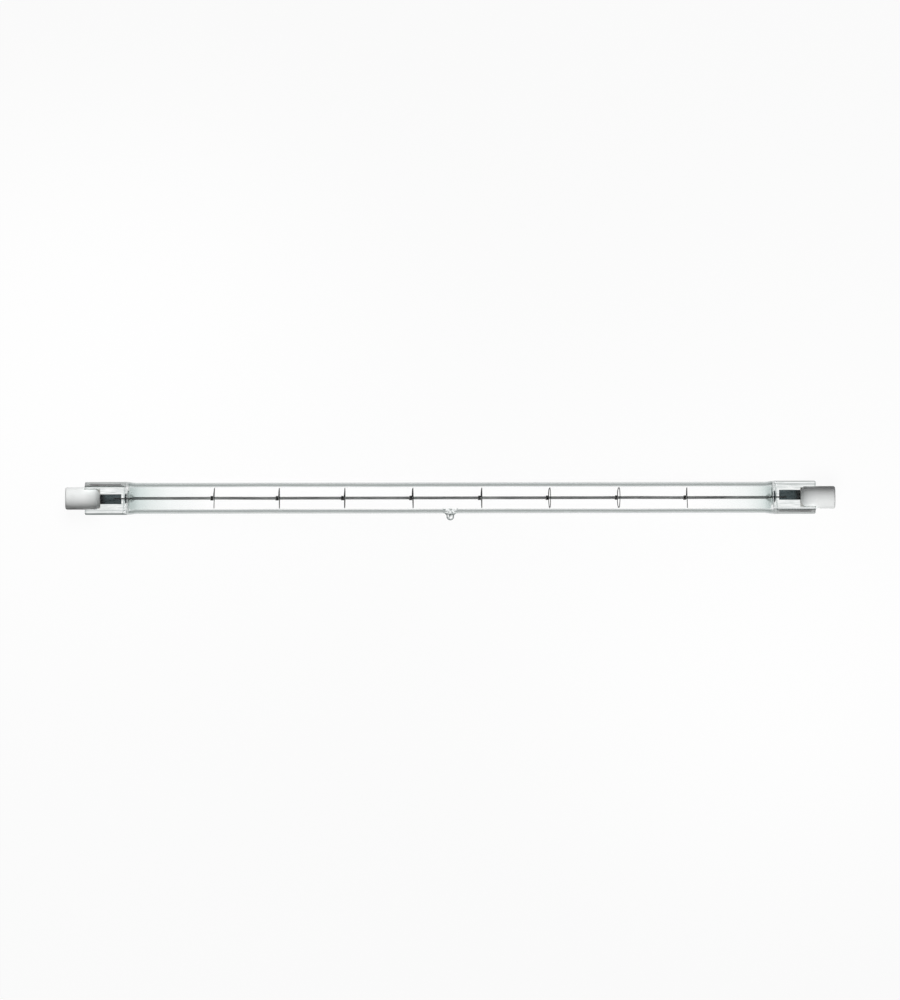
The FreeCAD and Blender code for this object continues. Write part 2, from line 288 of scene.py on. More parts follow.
def coordinate(tree, axis):
    """The X, Y or Z of the Object coordinates."""
    place = tree.node("ShaderNodeTexCoord", out="Object")
    return tree.node("ShaderNodeSeparateXYZ", (), {"Vector": place}, axis)


def light_path(tree, name):
    return tree.node("ShaderNodeLightPath", out=name)


def grain(tree, scale, stretch=(1, 1, 1), detail=3.0):
    """Noise in Object coordinates, stretched along the axes."""
    place = tree.node("ShaderNodeTexCoord", out="Object")
    stretched = tree.node("ShaderNodeMapping", (), {"Vector": place, "Scale": stretch})
    inputs = {"Vector": stretched, "Scale": scale, "Detail": detail}
    return tree.node("ShaderNodeTexNoise", (), inputs, out="Fac")


def tint(tree, factor, *stops):
    return tree.node("ShaderNodeValToRGB", {"stops": stops}, {"Fac": factor})


def bump(tree, height, depth_mm, strength=1.0):
    inputs = {"Height": height, "Distance": depth_mm * MM, "Strength": strength}
    return tree.node("ShaderNodeBump", (), inputs)


def ranged(tree, value, span):
    """0 before a span in millimetres, 1 after it and even across it."""
    inputs = {"Value": value, "From Min": span[0] * MM, "From Max": span[1] * MM}
    return tree.node("ShaderNodeMapRange", (), inputs)


def by_end(side, values):
    """The first of two values on the left side and the second on the right one."""
    left, right = values
    return (left + right) / 2 + (right - left) / 2 * side


def mixed_colour(tree, share, first, second, way="MIX"):
    settings = {"data_type": "RGBA", "blend_type": way}
    return tree.node("ShaderNodeMix", settings, {0: share, 6: first, 7: second}, out=2)


def multiplied(tree, first, second):
    return mixed_colour(tree, 1.0, first, second, "MULTIPLY")


def opaque(name, **inputs):
    """A Principled material. A value that is a function is called with the tree."""
    material = bpy.data.materials.new(name)
    tree = new_tree(material)
    sockets = {}
    for key, value in inputs.items():
        sockets[key.replace("_", " ")] = value(tree) if callable(value) else value
    finish_tree(tree, tree.node("ShaderNodeBsdfPrincipled", (), sockets))
    return material


# Quartz

def tube_skin(tree, edge, away, y):
    """Painted shade along the tube's edges where they are seen edge on, with painted dark blotches
    of shade at the neck of the exhaust tip and painted shade with dark marks on the tip.
    """
    # Painted shade: the outer skin greys and darkens where it is seen edge on.
    rim = tint(
        tree, edge,
        (0.27, WHITE), (0.32, (0.48, 0.51, 0.505)), (0.36, (0.20, 0.225, 0.22)),
        (0.42, (0.115, 0.135, 0.13)), (0.47, (0.115, 0.135, 0.13)), (0.56, (0.22, 0.25, 0.245)),
        (0.72, (0.36, 0.39, 0.385)), (1.0, (0.45, 0.48, 0.47)),
    )
    # Painted shade on the tip where it is seen edge on, mixed with random dark marks.
    tip_marks_and_shade = tint(
        tree, 0.55 * edge + 0.75 * grain(tree, 1100, detail=2.0),
        (0.39, WHITE), (0.48, (0.40, 0.44, 0.43)), (0.58, (0.03, 0.035, 0.035)),
        (0.9, (0.08, 0.10, 0.095)),
    )
    # Painted shade at the tip's neck: dark blotches that darken further towards the patch's border.
    neck_shade_marks = tint(
        tree, grain(tree, 1300, detail=2.0),
        (0.46, (0.95, 0.98, 0.97)), (0.53, (0.40, 0.44, 0.43)), (0.6, (0.06, 0.075, 0.07)),
    )
    down = 0.0 - y
    from_neck = away + NECK_SHADE_SLANT * down
    neck_shade_border = tint(
        tree, ranged(tree, from_neck, NECK_SHADE_BORDER),
        (0.0, WHITE), (0.7, (0.22, 0.25, 0.245)),
    )
    neck_shade = multiplied(tree, neck_shade_marks, neck_shade_border)
    neck = ranged(tree, down, NECK_DOWN) * (1.0 - ranged(tree, from_neck, NECK_SHADE_END))
    tip = ranged(tree, down, TIP_DOWN) * (1.0 - ranged(tree, away, TIP_ALONG))
    return mixed_colour(tree, tip, mixed_colour(tree, neck, rim, neck_shade), tip_marks_and_shade)


def bore_shade_near_pinches(tree, away, side, y):
    """Painted grey-green shade that thickens towards the pinches, later on the right, and a painted
    dark funnel of shade at each lead.
    """
    # Painted shade: the bore greys towards the pinches.
    grey_green_shade = tint(
        tree, tree.math("POWER", ranged(tree, away, BORE_SHADE_ALONG), by_end(side, BORE_SHADE_POWERS)),
        (0.0, WHITE), (0.5, (0.94, 0.96, 0.955)), (0.73, (0.86, 0.895, 0.885)),
        (0.87, (0.77, 0.82, 0.81)), (1.0, (0.60, 0.655, 0.645)),
    )
    # Painted shade: a dark funnel where the glass closes onto the lead.
    funnel = ranged(tree, away - FUNNEL_SLANT * tree.math("ABSOLUTE", y, 0.0), FUNNEL_ALONG)
    return mixed_colour(tree, funnel, grey_green_shade, (0.38, 0.42, 0.41, 1))


def pinch_rails(tree, edge, side, across, reach):
    """Painted dark lines of shade along the rails, which lie differently on the far rail of each
    pinch, and painted shade on the rails' sides where they are seen edge on.
    """
    far_rail = ranged(tree, side * across, RAIL_CHANGE_ACROSS)
    line_shift = far_rail * by_end(side, FAR_LINE_SHIFTS) * MM
    # Painted shade: dark lines along the rails.
    lines = tint(
        tree, ranged(tree, reach + line_shift, RAIL_LINES_ACROSS),
        (0.0, WHITE), (0.07, (0.42, 0.45, 0.445)), (0.14, (0.42, 0.45, 0.445)),
        (0.21, WHITE), (0.52, WHITE), (0.61, (0.10, 0.115, 0.11)),
        (0.72, (0.02, 0.025, 0.024)), (0.82, (0.02, 0.025, 0.024)), (0.85, (0.15, 0.165, 0.16)),
    )
    # Painted shade where a rail's side is seen edge on.
    rail_side = tint(
        tree, edge,
        (0.35, (0.97, 0.98, 0.98)), (0.55, (0.30, 0.33, 0.325)), (0.68, (0.14, 0.155, 0.15)),
    )
    return mixed_colour(tree, ranged(tree, reach, RAIL_SIDE_ACROSS), lines, rail_side)


def crease_and_rail_end_shade(tree, away, y):
    """Painted shade in wavy lines at the creases where the pinch was pressed, and painted shade
    darkening the ends of its rails.
    """
    waves = CREASE_WAVES * MM * grain(tree, 700)
    # Painted shade: dark wavy lines at the creases.
    crease_shade = tint(
        tree, ranged(tree, away + CREASE_SLANT * y + waves, CREASES_ALONG),
        (0.28, WHITE), (0.38, (0.22, 0.25, 0.245)), (0.46, WHITE),
        (0.70, WHITE), (0.78, (0.35, 0.38, 0.375)), (0.86, WHITE),
    )
    # Painted shade: the rails darken towards their ends.
    rail_end_shade = tint(
        tree, ranged(tree, away, RAIL_END_ALONG),
        (0.0, WHITE), (1.0, (0.42, 0.45, 0.445)),
    )
    return multiplied(tree, crease_shade, rail_end_shade)


def clear_quartz():
    """Fused quartz, with painted shade where its outer skin is seen edge on and painted grey-green
    shade near the pinches.
    """
    material = bpy.data.materials.new("clear_quartz")
    tree = new_tree(material)
    x, y, z = (coordinate(tree, axis) for axis in "XYZ")
    away = tree.math("ABSOLUTE", x, 0.0)
    side = tree.math("SIGN", x, 0.0)
    roll = math.radians(ENDS[0][2])
    across = math.cos(roll) * y - math.sin(roll) * side * z
    reach = tree.math("ABSOLUTE", across, 0.0)
    edge = tree.node("ShaderNodeLayerWeight", (), {"Blend": 0.5}, out="Facing")
    first_hit = tree.math("LESS_THAN", light_path(tree, "Ray Depth"), 0.5)
    outer_skin = ranged(tree, tree.math("SQRT", y * y + z * z, 0.0), SKIN_OUT)
    pinch = ranged(tree, away, PINCH_ALONG)
    press_marks = tint(
        tree, grain(tree, 1500, (0.15, 1, 1), 4.0),
        (0.35, (0.62, 0.66, 0.65)), (0.55, (0.93, 0.95, 0.945)), (0.7, WHITE),
    )
    inside = mixed_colour(tree, pinch, bore_shade_near_pinches(tree, away, side, y), press_marks)
    rails = multiplied(tree, press_marks, pinch_rails(tree, edge, side, across, reach))
    facing = mixed_colour(tree, pinch, tube_skin(tree, edge, away, y), rails)
    shown = mixed_colour(tree, first_hit * tree.math("MAXIMUM", outer_skin, pinch), inside, facing)
    drawn = mixed_colour(tree, first_hit, shown, crease_and_rail_end_shade(tree, away, y), "MULTIPLY")
    streaks = bump(tree, grain(tree, 900, (0.02, 1, 1)), 0.002, 0.1)
    glass = tree.node("ShaderNodeBsdfPrincipled", (), {
        "Base Color": drawn, "Normal": streaks, "Roughness": 0.01, "IOR": 1.458,
        "Specular Tint": (0.3, 0.3, 0.3, 1), "Transmission Weight": 1.0,
    })
    rail_back = pinch * ranged(tree, reach, RAIL_BACK_ACROSS) * (1.0 - first_hit)
    trapped = tree.math("GREATER_THAN", light_path(tree, "Glossy Depth"), TRAPPED_BOUNCES)
    lost = tree.math("GREATER_THAN", light_path(tree, "Ray Depth"), LOST_BOUNCES)
    let_out = light_path(tree, "Is Shadow Ray")
    for escape in (rail_back, trapped, lost):
        let_out = tree.math("MAXIMUM", let_out, escape)
    shade = tree.node("ShaderNodeBsdfTransparent", (), {"Color": (0.9, 0.91, 0.91, 1)})
    finish_tree(tree, tree.node("ShaderNodeMixShader", (), {0: let_out, 1: glass, 2: shade}))
    return material


# Other materials

def cap_colour(tree):
    """Mottled white, with painted shade darkening it towards the pinch."""
    mottle = tint(
        tree, grain(tree, 260, detail=5.0),
        (0.25, (0.79, 0.805, 0.795)), (0.45, (0.86, 0.875, 0.868)), (0.75, (0.89, 0.905, 0.90)),
    )
    waves = CAP_SHADE_WAVES * MM * grain(tree, 600)
    away = tree.math("ABSOLUTE", coordinate(tree, "X"), 0.0) + waves
    # Painted shade: the cap darkens towards its inner end by the pinch.
    cap_inner_shade = tint(
        tree, ranged(tree, away, CAP_SHADE_ALONG),
        (0.0, (0.42, 0.43, 0.43)), (0.25, (0.60, 0.61, 0.61)), (0.55, (0.84, 0.845, 0.845)),
        (1.0, WHITE),
    )
    return multiplied(tree, mottle, cap_inner_shade)


def foil_colour(tree):
    """Dark rolled metal, with painted shade darkening it towards the cap."""
    rolled = tint(
        tree, grain(tree, 500, (0.25, 1, 1)),
        (0.3, (0.036, 0.050, 0.054)), (0.7, (0.092, 0.120, 0.128)),
    )
    waves = FOIL_SHADE_WAVES * MM * grain(tree, 900)
    away = tree.math("ABSOLUTE", coordinate(tree, "X"), 0.0) + waves
    # Painted shade: the foil darkens towards and under the cap's inner end.
    foil_cap_shade = tint(
        tree, ranged(tree, away, FOIL_SHADE_ALONG),
        (0.0, WHITE), (0.6, (0.25, 0.26, 0.26)), (1.0, (0.1, 0.1, 0.1)),
    )
    return multiplied(tree, rolled, foil_cap_shade)


def make_materials():
    return {
        "quartz": clear_quartz(),
        "tungsten": opaque(
            "drawn_tungsten", Metallic=1.0, Specular_Tint=(0.08, 0.08, 0.08, 1),
            Base_Color=lambda t: tint(t, grain(t, 400, (0.3, 1, 1)),
                                      (0.3, (0.20, 0.208, 0.206)), (0.7, (0.38, 0.39, 0.387))),
            Roughness=lambda t: 0.35 + 0.25 * grain(t, 1500),
        ),
        "support": opaque(
            "support_tungsten", Metallic=1.0, Specular_Tint=(0.03, 0.03, 0.03, 1),
            Base_Color=lambda t: tint(t, grain(t, 900),
                                      (0.3, (0.012, 0.012, 0.012)), (0.7, (0.034, 0.034, 0.034))),
            Roughness=lambda t: 0.4 + 0.25 * grain(t, 2000),
        ),
        "lead": opaque(
            "drawn_molybdenum", Metallic=1.0,
            Base_Color=lambda t: tint(t, grain(t, 700, (0.1, 1, 1)),
                                      (0.3, (0.03, 0.03, 0.03)), (0.7, (0.08, 0.08, 0.08))),
            Roughness=lambda t: 0.4 + 0.3 * grain(t, 2500),
        ),
        "foil": opaque(
            "molybdenum_foil", Metallic=0.7,
            Base_Color=foil_colour,
            Roughness=lambda t: 0.4 + 0.2 * grain(t, 1800),
            Normal=lambda t: bump(t, grain(t, 1200, (0.15, 1, 1)), 0.02, 0.5),
        ),
        "ceramic": opaque(
            "white_steatite",
            Base_Color=cap_colour,
            Roughness=lambda t: 0.45 + 0.2 * grain(t, 900),
            Normal=lambda t: bump(t, grain(t, 2600, detail=4.0), 0.02, 0.35),
        ),
        "cement": opaque(
            "rough_cement",
            Base_Color=lambda t: tint(t, grain(t, 900, detail=6.0),
                                      (0.3, (0.30, 0.30, 0.28)), (0.7, (0.60, 0.59, 0.56))),
            Roughness=0.9,
            Normal=lambda t: bump(t, grain(t, 2200, detail=6.0), 0.08, 0.8),
        ),
        "contact": opaque(
            "nickel_plate", Metallic=1.0,
            Base_Color=lambda t: tint(t, grain(t, 800), (0.3, (0.52, 0.51, 0.48)),
                                      (0.7, (0.68, 0.67, 0.64))),
            Roughness=lambda t: 0.22 + 0.25 * grain(t, 3000, (0.2, 1, 1)),
        ),
    }


# Mesh helpers

def along(side, inset):
    return side * (HALF_LENGTH - inset)


def eased(share):
    share = min(max(share, 0.0), 1.0)
    return share * share * (3 - 2 * share)


def slope(share):
    """A straight slope whose two ends are slightly eased."""
    share = min(max(share, 0.0), 1.0)
    return 0.6 * share + 0.4 * eased(share)


def blended(low, high, share):
    return low + (high - low) * share


def close_ends(bm):
    open_edges = [edge for edge in bm.edges if edge.is_boundary]
    filled = bmesh.ops.holes_fill(bm, edges=open_edges, sides=0)["faces"]
    bmesh.ops.triangulate(bm, faces=filled)


def turn_about_axis(bm, angle):
    """Turns the whole mesh about the lamp's axis."""
    turn = Matrix.Rotation(math.radians(angle), 3, "X")
    bmesh.ops.rotate(bm, cent=(0, 0, 0), matrix=turn, verts=bm.verts)


def raised(bm, faces):
    """Extrudes faces and gives the vertices of their new tops."""
    lifted = bmesh.ops.extrude_face_region(bm, geom=faces)["geom"]
    return {made for made in lifted if isinstance(made, bmesh.types.BMVert)}


def turned(profile, axis, steps):
    """A profile of (place along the axis, radius), turned all round the axis."""
    bm = bmesh.new()
    across = Vector((0, 0, 1))
    verts = [bm.verts.new(Vector(axis) * place + across * radius) for place, radius in profile]
    for first, second in zip(verts, verts[1:]):
        bm.edges.new((first, second))
    bmesh.ops.spin(
        bm, geom=bm.verts[:] + bm.edges[:], cent=(0, 0, 0), axis=axis, dvec=(0, 0, 0),
        angle=2 * math.pi, steps=steps, use_merge=True, use_duplicate=False,
    )
    return bm


def turned_end(side, profile, steps):
    """A profile of (inset, radius), turned round the lamp's axis at one end."""
    return turned([(along(side, inset), radius) for inset, radius in profile], (1, 0, 0), steps)


def to_mesh(name, bm):
    """The finished mesh in metres, with its faces turned outwards."""
    bmesh.ops.remove_doubles(bm, verts=bm.verts, dist=1e-4)
    bmesh.ops.recalc_face_normals(bm, faces=bm.faces)
    bmesh.ops.scale(bm, vec=(MM, MM, MM), verts=bm.verts)
    mesh = bpy.data.meshes.new(name)
    bm.to_mesh(mesh)
    bm.free()
    return mesh


def new_object(name, mesh):
    made = bpy.data.objects.new(name, mesh)
    bpy.context.scene.collection.objects.link(made)
    return made


def applied(shaped, *helpers):
    """The mesh that an object's modifiers give. The object and its helpers are removed."""
    bpy.context.view_layer.update()
    ready = shaped.evaluated_get(bpy.context.evaluated_depsgraph_get())
    mesh = bpy.data.meshes.new_from_object(ready)
    for used in (shaped, *helpers):
        bpy.data.objects.remove(used)
    return mesh


def carve(name, base, tools, bevel_mm=0.0):
    """The base mesh joined with or cut by other meshes, with its sharp edges eased."""
    shaped = new_object(name, base)
    helpers = []
    for operation, mesh in tools:
        helper = new_object("helper", mesh)
        helpers.append(helper)
        change = shaped.modifiers.new("carve", "BOOLEAN")
        change.operation = operation
        change.solver = "EXACT"
        change.object = helper
    if bevel_mm:
        ease = shaped.modifiers.new("ease", "BEVEL")
        ease.width = bevel_mm * MM
        ease.segments = 2
        ease.limit_method = "ANGLE"
        ease.angle_limit = math.radians(35)
    return applied(shaped, *helpers)


def finish_piece(name, mesh, material, node, crease=40):
    """Shades the mesh, dresses it and lets it ride in place of its CAD node."""
    piece = new_object(name, mesh)
    mesh.shade_smooth()
    mesh.set_sharp_from_angle(angle=math.radians(crease))
    mesh.materials.clear()
    mesh.materials.append(material)
    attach(piece, "root")
    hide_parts(node)


# Quartz envelope

SIDE = "side"
RAIL = "rail"
WEB = "web"


def ring_places():
    """The angles of a ring's vertices from the pinch's flat, each with what it becomes."""
    quarter = [(RAIL_ANGLES[0] * step / 8, RAIL) for step in range(8)]
    quarter += [(blended(*RAIL_ANGLES, step / 4), RAIL) for step in range(5)]
    quarter += [(blended(*WEB_ANGLES, step / 12), WEB) for step in range(13)]
    half = quarter + [(180 - angle, kind) for angle, kind in reversed(quarter[:-1])]
    return half + [(angle + 180, kind) for angle, kind in half[1:-1]]


RING = ring_places()


def roll_at(x):
    """The roll of the tube's rings, which turns evenly from one pinch's to the other's."""
    reach = HALF_LENGTH - SHOULDER_INSET
    return ENDS[1][2] * min(max(x / reach, -1.0), 1.0)


def pressed(x, angle, kind, radius, heights):
    """A ring's point, pressed between the jaws and rolled with its pinch."""
    turn = math.radians(angle)
    flat = radius * math.cos(turn)
    high = radius * math.sin(turn)
    flat = math.copysign(min(abs(flat), heights[SIDE]), flat)
    high = math.copysign(min(abs(high), heights[kind]), high)
    return Matrix.Rotation(math.radians(roll_at(x)), 3, "X") @ Vector((x, flat, high))


def lofted(sections):
    """Rings bridged from section to section, each given as (x, radius, heights)."""
    bm = bmesh.new()
    earlier = None
    for x, radius, heights in sections:
        ring = bmesh.ops.create_circle(bm, segments=len(RING), radius=1)["verts"]
        for vert, (angle, kind) in zip(ring, RING):
            vert.co = pressed(x, angle, kind, radius, heights)
        edges = list({edge for vert in ring for edge in vert.link_edges})
        if earlier:
            bmesh.ops.bridge_loops(bm, edges=earlier + edges)
        earlier = edges
    close_ends(bm)
    return bm


def both_ends(sections):
    left = [(along(-1, inset), radius, heights) for inset, radius, heights in sections]
    right = [(along(1, inset), radius, heights) for inset, radius, heights in reversed(sections)]
    return left + right


def envelope_sections():
    """The outside, as (inset, radius, heights), from the rails' rounded ends to the middle."""
    insets = [PINCH_INSET + RAIL_ROUNDING * share for share in ROUNDING_SHARES]
    insets += PINCH_STATIONS
    opening = [step / SHOULDER_STEPS for step in range(SHOULDER_STEPS + 1)]
    insets += [blended(WEB_INSET, SHOULDER_INSET, share) for share in opening]
    insets += TUBE_STATIONS
    sections = []
    for inset in insets:
        share = (inset - WEB_INSET) / (SHOULDER_INSET - WEB_INSET)
        flare = (FLARE_INSET - inset) / (FLARE_INSET - WEB_INSET)
        radius = blended(TUBE_RADIUS, FLARE_RADIUS, min(max(flare, 0.0), 1.0))
        heights = {
            SIDE: blended(PINCH_HALF_WIDTH, FLARE_RADIUS, slope(share)),
            RAIL: blended(RAIL_HEIGHT, CREST_HEIGHT, slope(share)),
            WEB: blended(WEB_HEIGHT, CREST_HEIGHT, slope(share)),
        }
        short = max(RAIL_ROUNDING - (inset - PINCH_INSET), 0.0)
        drop = RAIL_ROUNDING - math.sqrt(RAIL_ROUNDING ** 2 - short ** 2)
        heights = {key: height - drop for key, height in heights.items()}
        sections.append((inset, radius - drop, heights))
    return sections


def cavity_sections():
    """The gas space, as (inset, radius, heights), from its nose and slit to the middle."""
    dome = (BORE_RADIUS ** 2 + CAVITY_NOSE ** 2) / (2 * CAVITY_NOSE)
    insets = [CAVITY_INSET + depth for depth in NOSE_DEPTHS]
    insets += BORE_STATIONS
    sections = []
    for inset in insets:
        depth = inset - CAVITY_INSET
        radius = BORE_RADIUS
        if depth < CAVITY_NOSE:
            radius = math.sqrt(dome ** 2 - (dome - depth) ** 2)
        share = depth / (SHOULDER_INSET - CAVITY_INSET)
        height = blended(SLIT_HEIGHT, BORE_RADIUS, slope(share))
        sections.append((inset, radius, {SIDE: BORE_RADIUS, RAIL: height, WEB: height}))
    return sections


def quartz_envelope(material):
    outside = lofted(both_ends(envelope_sections()))
    pinch = [vert for vert in outside.verts if abs(vert.co.x) > along(1, SHOULDER_INSET)]
    for _ in range(SMOOTHING_ROUNDS):
        bmesh.ops.smooth_vert(
            outside, verts=pinch, factor=SMOOTHING, use_axis_y=True, use_axis_z=True,
        )
    mesh = carve("quartz", to_mesh("outside", outside), (
        ("UNION", to_mesh("tip", turned(TIP_PROFILE, (0, 1, 0), TIP_SIDES))),
        ("DIFFERENCE", to_mesh("cavity", lofted(both_ends(cavity_sections())))),
        ("DIFFERENCE", to_mesh("tip_bore", turned(TIP_BORE_PROFILE, (0, 1, 0), TIP_BORE_SIDES))),
    ))
    finish_piece("quartz", mesh, material, "quartz_envelope", crease=35)


# Filament and supports

def wire_circle(bm, x, away, radius, sides):
    """A wire's round section across Y, at a place along X and away from the axis along Z."""
    stand = Matrix.Translation((x, 0, away)) @ Matrix.Rotation(math.pi / 2, 4, "X")
    made = bmesh.ops.create_circle(bm, segments=sides, radius=radius, matrix=stand)["verts"]
    return made + list({edge for vert in made for edge in vert.link_edges})


def wind(bm, section, turns, steps, advance, centre=(0, 0, 0)):
    """Winds a section about a line along X and gives the last one."""
    spun = bmesh.ops.spin(
        bm, geom=section, cent=centre, axis=(1, 0, 0), dvec=(advance / steps, 0, 0),
        angle=2 * math.pi * turns, steps=steps, use_merge=False, use_duplicate=False,
    )
    return spun["geom_last"]


def filament(material):
    """One turn of the coil, repeated along the lamp."""
    turn = bmesh.new()
    reach = along(1, COIL_INSET) - COIL_WIRE
    pitch = 2 * reach / COIL_TURNS
    wind(turn, wire_circle(turn, -reach, COIL_RADIUS, COIL_WIRE, COIL_SIDES), 1, COIL_STEPS, pitch)
    mesh = bpy.data.meshes.new("turn")
    turn.to_mesh(mesh)
    turn.free()
    coil = new_object("coil", mesh)
    row = coil.modifiers.new("row", "ARRAY")
    row.count = COIL_TURNS
    row.use_relative_offset = False
    row.use_constant_offset = True
    row.constant_offset_displace = (pitch, 0, 0)
    row.use_merge_vertices = True
    row.merge_threshold = COIL_WIRE / 50
    bm = bmesh.new()
    bm.from_mesh(applied(coil))
    close_ends(bm)
    finish_piece("coiled_filament", to_mesh("coil", bm), material, "filament", crease=80)


def filament_support(number, place, lean_y, lean_z, material):
    """Tight turns round the coil, a half turn outwards and the open ring."""
    bm = bmesh.new()
    length = GRIP_TURNS * 2 * SUPPORT_WIRE
    section = wire_circle(bm, -GRIP_OFFSET - length, -SUPPORT_GRIP, SUPPORT_WIRE, SUPPORT_SIDES)
    section = wind(bm, section, GRIP_TURNS, GRIP_TURNS * GRIP_STEPS, length)
    outwards = (0, 0, (SUPPORT_RING - SUPPORT_GRIP) / 2)
    section = wind(bm, section, ARM_TURN, ARM_STEPS, GRIP_OFFSET, outwards)
    wind(bm, section, RING_TURN, RING_STEPS, 0)
    close_ends(bm)
    turn_about_axis(bm, -90)
    for vert in bm.verts:
        away = math.hypot(vert.co.y, vert.co.z)
        share = eased((away - LEAN_START) / (LEAN_END - LEAN_START))
        vert.co.x += place + share * (lean_y * vert.co.y + lean_z * vert.co.z)
    name = f"filament_support_{number}"
    finish_piece(f"wire_support_{number}", to_mesh(name, bm), material, name, crease=70)


# Caps, cement, contacts and foils

def rounded(start, centre, stop_angle, steps):
    """Points of an arc in (inset, radius), from its start about its centre."""
    reach = math.hypot(start[0] - centre[0], start[1] - centre[1])
    first = math.atan2(start[1] - centre[1], start[0] - centre[0])
    points = []
    for step in range(steps + 1):
        angle = blended(first, math.radians(stop_angle), step / steps)
        points.append((centre[0] + reach * math.cos(angle), centre[1] + reach * math.sin(angle)))
    return points


def slot_mesh(side, roll):
    """The block that cuts the cap's slot for the pinch's web."""
    start, stop = sorted((along(side, SLOT_INSET), along(side, SLOT_CUT_INSET)))
    bm = bmesh.new()
    bmesh.ops.create_cube(bm, size=1)
    bmesh.ops.scale(bm, vec=(stop - start, 2 * SLOT_CUT_HALF_WIDTH, 2 * SLOT_HEIGHT), verts=bm.verts)
    bmesh.ops.translate(bm, vec=((start + stop) / 2, 0, 0), verts=bm.verts)
    turn_about_axis(bm, roll)
    return to_mesh("slot", bm)


def ceramic_cap(end, side, roll, material):
    """The cap's profile, from its bore round its rim to its inner end, turned and slotted."""
    profile = [(CAP_LENGTH, CAP_BORE), (SEAT_DEPTH, CAP_BORE), (SEAT_DEPTH, SEAT_RADIUS)]
    profile += [(RECESS_DEPTH, SEAT_RADIUS), (RECESS_DEPTH, RECESS_RADIUS), *RECESS_LIP]
    rim = CAP_RADIUS - RIM_ROUNDING
    profile += rounded((0, rim), (RIM_ROUNDING, rim), 90, RIM_STEPS)
    profile += [(station, CAP_RADIUS) for station in CAP_STATIONS]
    for start, centre, stop_angle in CHAMFER_ARCS:
        profile += rounded(start, centre, stop_angle, CHAMFER_STEPS)
    profile += [(CAP_LENGTH, CAP_BORE)]
    blank = to_mesh("cap_blank", turned_end(side, profile, CAP_SIDES))
    mesh = carve("cap", blank, (("DIFFERENCE", slot_mesh(side, roll)),), CAP_BEVEL)
    finish_piece(f"white_cap_{end}", mesh, material, f"ceramic_cap_{end}", crease=35)


def cement(end, side, roll, material):
    """Two lumpy layers, between the slot's walls and the pinch's web."""
    bm = bmesh.new()
    length = CEMENT_INSET - SLOT_INSET
    columns, rows = CEMENT_GRID
    for face in (-1, 1):
        made = bmesh.ops.create_grid(bm, x_segments=columns, y_segments=rows, size=0.5)["verts"]
        bmesh.ops.scale(bm, vec=(length, 2 * CEMENT_HALF_WIDTH, 1), verts=made)
        middle = (along(side, (CEMENT_INSET + SLOT_INSET) / 2), 0, face * WEB_HEIGHT)
        bmesh.ops.translate(bm, vec=middle, verts=made)
        skin = [layer for layer in bm.faces if layer.verts[0] in made]
        for vert in raised(bm, skin):
            lump = CEMENT_LUMPS * noise.noise(vert.co * CEMENT_LUMP_SCALE)
            vert.co.z = face * (SLOT_HEIGHT - CEMENT_GAP + lump)
    for vert in bm.verts:
        if abs(along(side, 0) - vert.co.x) > CAP_LENGTH:
            fray = noise.noise(vert.co * CEMENT_FRAY_SCALE) - CEMENT_FRAY_START
            vert.co.x += side * CEMENT_FRAY * fray
    turn_about_axis(bm, roll)
    finish_piece(f"set_cement_{end}", to_mesh("cement", bm), material, f"cement_{end}")


def contact(end, side, material):
    mesh = to_mesh("contact", turned_end(side, CONTACT_PROFILE, CONTACT_SIDES))
    finish_piece(f"contact_button_{end}", mesh, material, f"contact_{end}")


def foil(end, side, roll, material):
    """Thin rippled foil with feathered edges."""
    bm = bmesh.new()
    length = FOIL_INSETS[1] - FOIL_INSETS[0]
    columns, rows = FOIL_GRID
    grid = bmesh.ops.create_grid(bm, x_segments=columns, y_segments=rows, size=0.5)["verts"]
    bmesh.ops.scale(bm, vec=(length, FOIL_WIDTH, 1), verts=grid)
    tops = raised(bm, bm.faces[:])
    middle = along(side, sum(FOIL_INSETS) / 2)
    long_scale, wide_scale = FOIL_RIPPLE_SCALES
    for vert in bm.verts:
        feather = 1 - (abs(vert.co.y) / (FOIL_WIDTH / 2)) ** 2
        half = FOIL_EDGE + FOIL_CROWN * feather
        wave = Vector((vert.co.x * long_scale, vert.co.y * wide_scale, FOIL_RIPPLE_SEED + side))
        ripple = FOIL_RIPPLE * noise.noise(wave)
        vert.co.z = FOIL_LEVEL + ripple + (half if vert in tops else -half)
        vert.co.x += middle
        vert.co.y += FOIL_SHIFT[end]
    turn_about_axis(bm, roll)
    finish_piece(f"sealing_foil_{end}", to_mesh("foil", bm), material, f"foil_{end}")


# Stage

def seen_directly(tree):
    """1 on rays from the camera, and on those that it sends on through gloss and glass."""
    rays = [light_path(tree, name) for name in
            ("Is Camera Ray", "Is Glossy Ray", "Is Transmission Ray")]
    return tree.math("MINIMUM", rays[0] + rays[1] + rays[2], 1.0)


def stage_floor():
    bm = bmesh.new()
    bmesh.ops.create_grid(bm, x_segments=1, y_segments=1, size=FLOOR_SIZE)
    bmesh.ops.translate(bm, vec=(0, 0, -CREST_HEIGHT - FLOOR_GAP), verts=bm.verts)
    floor = new_object("floor", to_mesh("floor", bm))
    material = bpy.data.materials.new("white_floor")
    tree = new_tree(material)
    bounce = tree.node("ShaderNodeBsdfDiffuse", (), {"Color": FLOOR_BOUNCE})
    paper = tree.node("ShaderNodeBsdfDiffuse", (), {"Color": FLOOR_PAPER})
    glow = tree.node("ShaderNodeEmission", (), {"Color": (*WHITE, 1), "Strength": 1.0})
    seen = tree.node("ShaderNodeMixShader", (), {0: FLOOR_GLOW, 1: paper, 2: glow})
    mixed = tree.node("ShaderNodeMixShader", (), {0: seen_directly(tree), 1: bounce, 2: seen})
    finish_tree(tree, mixed)
    floor.data.materials.append(material)


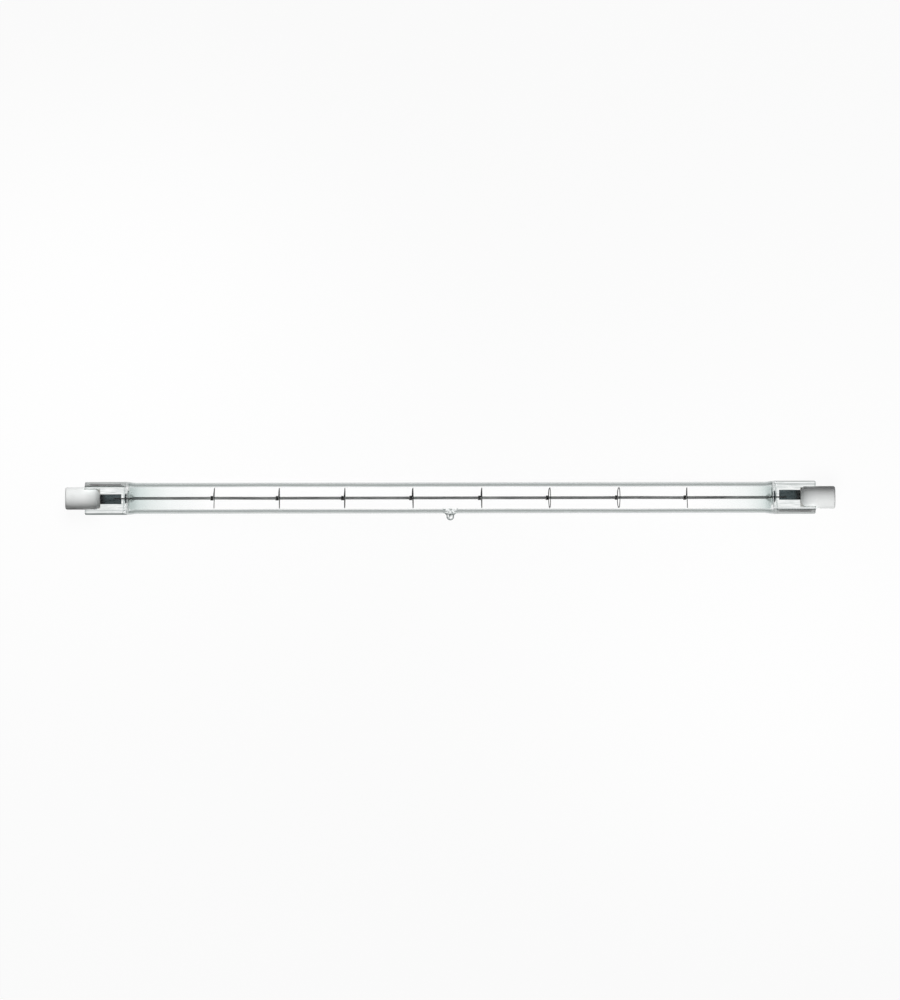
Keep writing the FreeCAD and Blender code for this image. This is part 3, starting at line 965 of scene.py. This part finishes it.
def stage_world():
    world = bpy.data.worlds.new("studio")
    bpy.context.scene.world = world
    tree = new_tree(world)
    fill = tree.node("ShaderNodeBackground", (), {"Color": (*WHITE, 1), "Strength": WORLD_FILL})
    white = tree.node("ShaderNodeBackground", (), {"Color": (*WHITE, 1), "Strength": 1.0})
    mixed = tree.node("ShaderNodeMixShader", (), {0: seen_directly(tree), 1: fill, 2: white})
    finish_tree(tree, mixed, "ShaderNodeOutputWorld")


def soft_light(name, side, power):
    """A soft lamp that shines on the cap at one side and isn't seen in gloss or glass."""
    lamp = bpy.data.lights.new(name, "AREA")
    lamp.shape = "DISK"
    lamp.size = LAMP_SIZE
    lamp.spread = math.radians(LAMP_SPREAD)
    lamp.energy = power
    light = bpy.data.objects.new(name, lamp)
    light.visible_glossy = False
    light.visible_transmission = False
    out, back, up = LAMP_PLACE
    place = Vector((side * out, -side * back, up))
    aim = Vector((side * LAMP_AIM, 0, 0))
    light.location = place
    light.rotation_euler = (aim - place).to_track_quat("-Z", "Y").to_euler()
    bpy.context.scene.collection.objects.link(light)


def stage_camera():
    """Straight above the lamp, with a long lens."""
    lens = bpy.data.cameras.new("camera")
    lens.sensor_width = 36
    lens.lens = lens.sensor_width * CAMERA_PLACE[2] / VIEW_HEIGHT
    camera = bpy.data.objects.new("camera", lens)
    camera.location = CAMERA_PLACE
    camera.rotation_euler = (0, 0, math.radians(CAMERA_TURN))
    bpy.context.scene.collection.objects.link(camera)
    bpy.context.scene.camera = camera


materials = make_materials()
quartz_envelope(materials["quartz"])
filament(materials["tungsten"])
for number, (place, lean_y, lean_z) in enumerate(SUPPORTS, start=1):
    filament_support(number, place, lean_y, lean_z, materials["support"])
for end, side, roll in ENDS:
    ceramic_cap(end, side, roll, materials["ceramic"])
    cement(end, side, roll, materials["cement"])
    contact(end, side, materials["contact"])
    foil(end, side, roll, materials["foil"])
    for lead in (f"inner_lead_{end}", f"outer_lead_{end}"):
        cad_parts[lead].data.materials.clear()
        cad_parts[lead].data.materials.append(materials["lead"])

stage_floor()
stage_world()
for name, side, power in LAMPS:
    soft_light(name, side, power)
stage_camera()
bpy.context.scene.view_settings.view_transform = "Standard"
